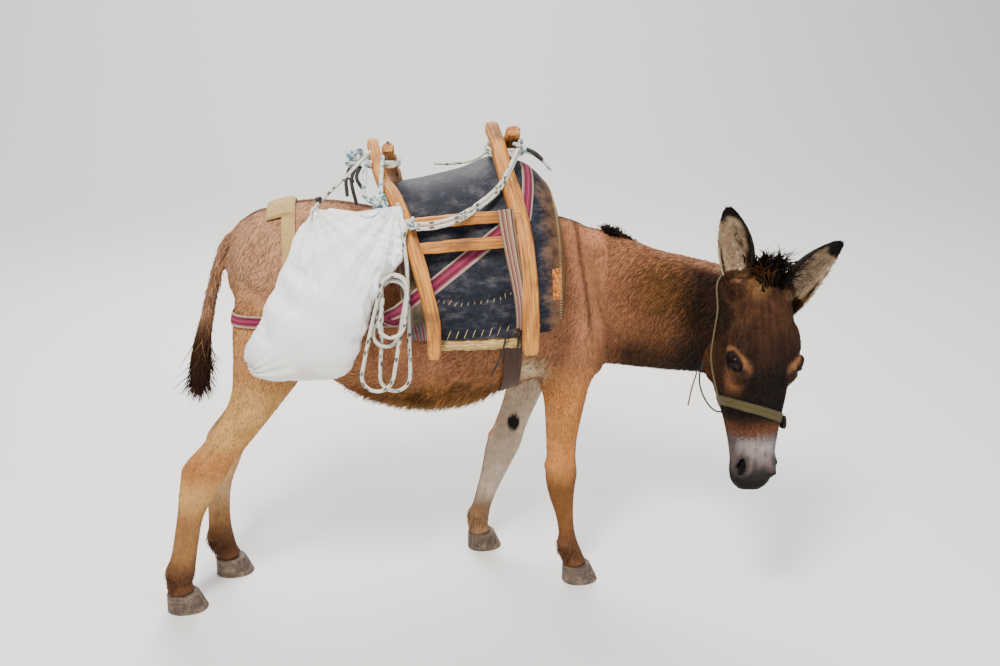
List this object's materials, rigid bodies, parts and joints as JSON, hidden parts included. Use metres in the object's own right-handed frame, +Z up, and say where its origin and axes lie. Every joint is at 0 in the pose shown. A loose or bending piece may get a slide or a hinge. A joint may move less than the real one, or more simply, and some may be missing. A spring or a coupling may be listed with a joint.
{
  "type": "pack donkey",
  "caption": "Standing pack donkey with its head turned aside, wearing a halter, a blanket, a padded pack saddle with a wooden frame, ropes and a hanging sack.",
  "frame": {"origin": "on the floor under the middle of the bounding box, the free cords left out", "axes": "+X the way the body faces, +Y the donkey's left, +Z up"},
  "size_m": [1.7902, 0.7895, 1.3192],
  "materials": {
    "hide": "short hair",
    "hoof_horn": "dull horn",
    "eye_gloss": "wet gloss",
    "blanket_wool": "woven wool",
    "pad_leather": "worn, dusty",
    "straw_cloth": "coarse cloth",
    "frame_wood": "worn bare wood",
    "sack_weave": "woven film",
    "braided_rope": "braided",
    "webbing": "woven",
    "halter_web": "woven",
    "dark_cord": "greasy",
    "buckle_iron": "dark"
  },
  "bodies": {
    "root": {"torso": "hide", "neck": "hide", "head": "hide", "tail": "hide", "ear_left": "hide", "ear_right": "hide", "foreleg_left": "hide", "foreleg_right": "hide", "hindleg_left": "hide", "hindleg_right": "hide", "hoof_fore_left": "hoof_horn", "hoof_fore_right": "hoof_horn", "hoof_hind_left": "hoof_horn", "hoof_hind_right": "hoof_horn", "eye_left": "eye_gloss", "eye_right": "eye_gloss", "blanket": "blanket_wool", "saddle_pad": "pad_leather", "pad_roll_left": "straw_cloth", "pad_roll_right": "straw_cloth", "croup_pad": "straw_cloth", "hip_strap": "straw_cloth", "post_front_left": "frame_wood", "post_front_right": "frame_wood", "post_rear_left": "frame_wood", "post_rear_right": "frame_wood", "slat_lower_left": "frame_wood", "slat_lower_right": "frame_wood", "slat_upper_left": "frame_wood", "slat_upper_right": "frame_wood", "sack": "sack_weave", "rope_span_1": "braided_rope", "rope_span_2": "braided_rope", "rope_far": "braided_rope", "rope_drop": "braided_rope", "rope_hank": "braided_rope", "rope_end": "braided_rope", "lashing_front": "braided_rope", "lashing_rear": "braided_rope", "knot_coil": "braided_rope", "sack_cord_front": "braided_rope", "sack_cord_rear": "braided_rope", "band_front": "webbing", "band_left": "webbing", "band_right": "webbing", "band_striped": "webbing", "breeching": "webbing", "halter_noseband": "halter_web", "halter_headcord": "halter_web", "halter_throat": "dark_cord", "halter_end": "dark_cord", "thong_front": "dark_cord", "thong_rear": "dark_cord", "girth": "dark_cord", "halter_buckle": "buckle_iron"}
  },
  "joints": []
}
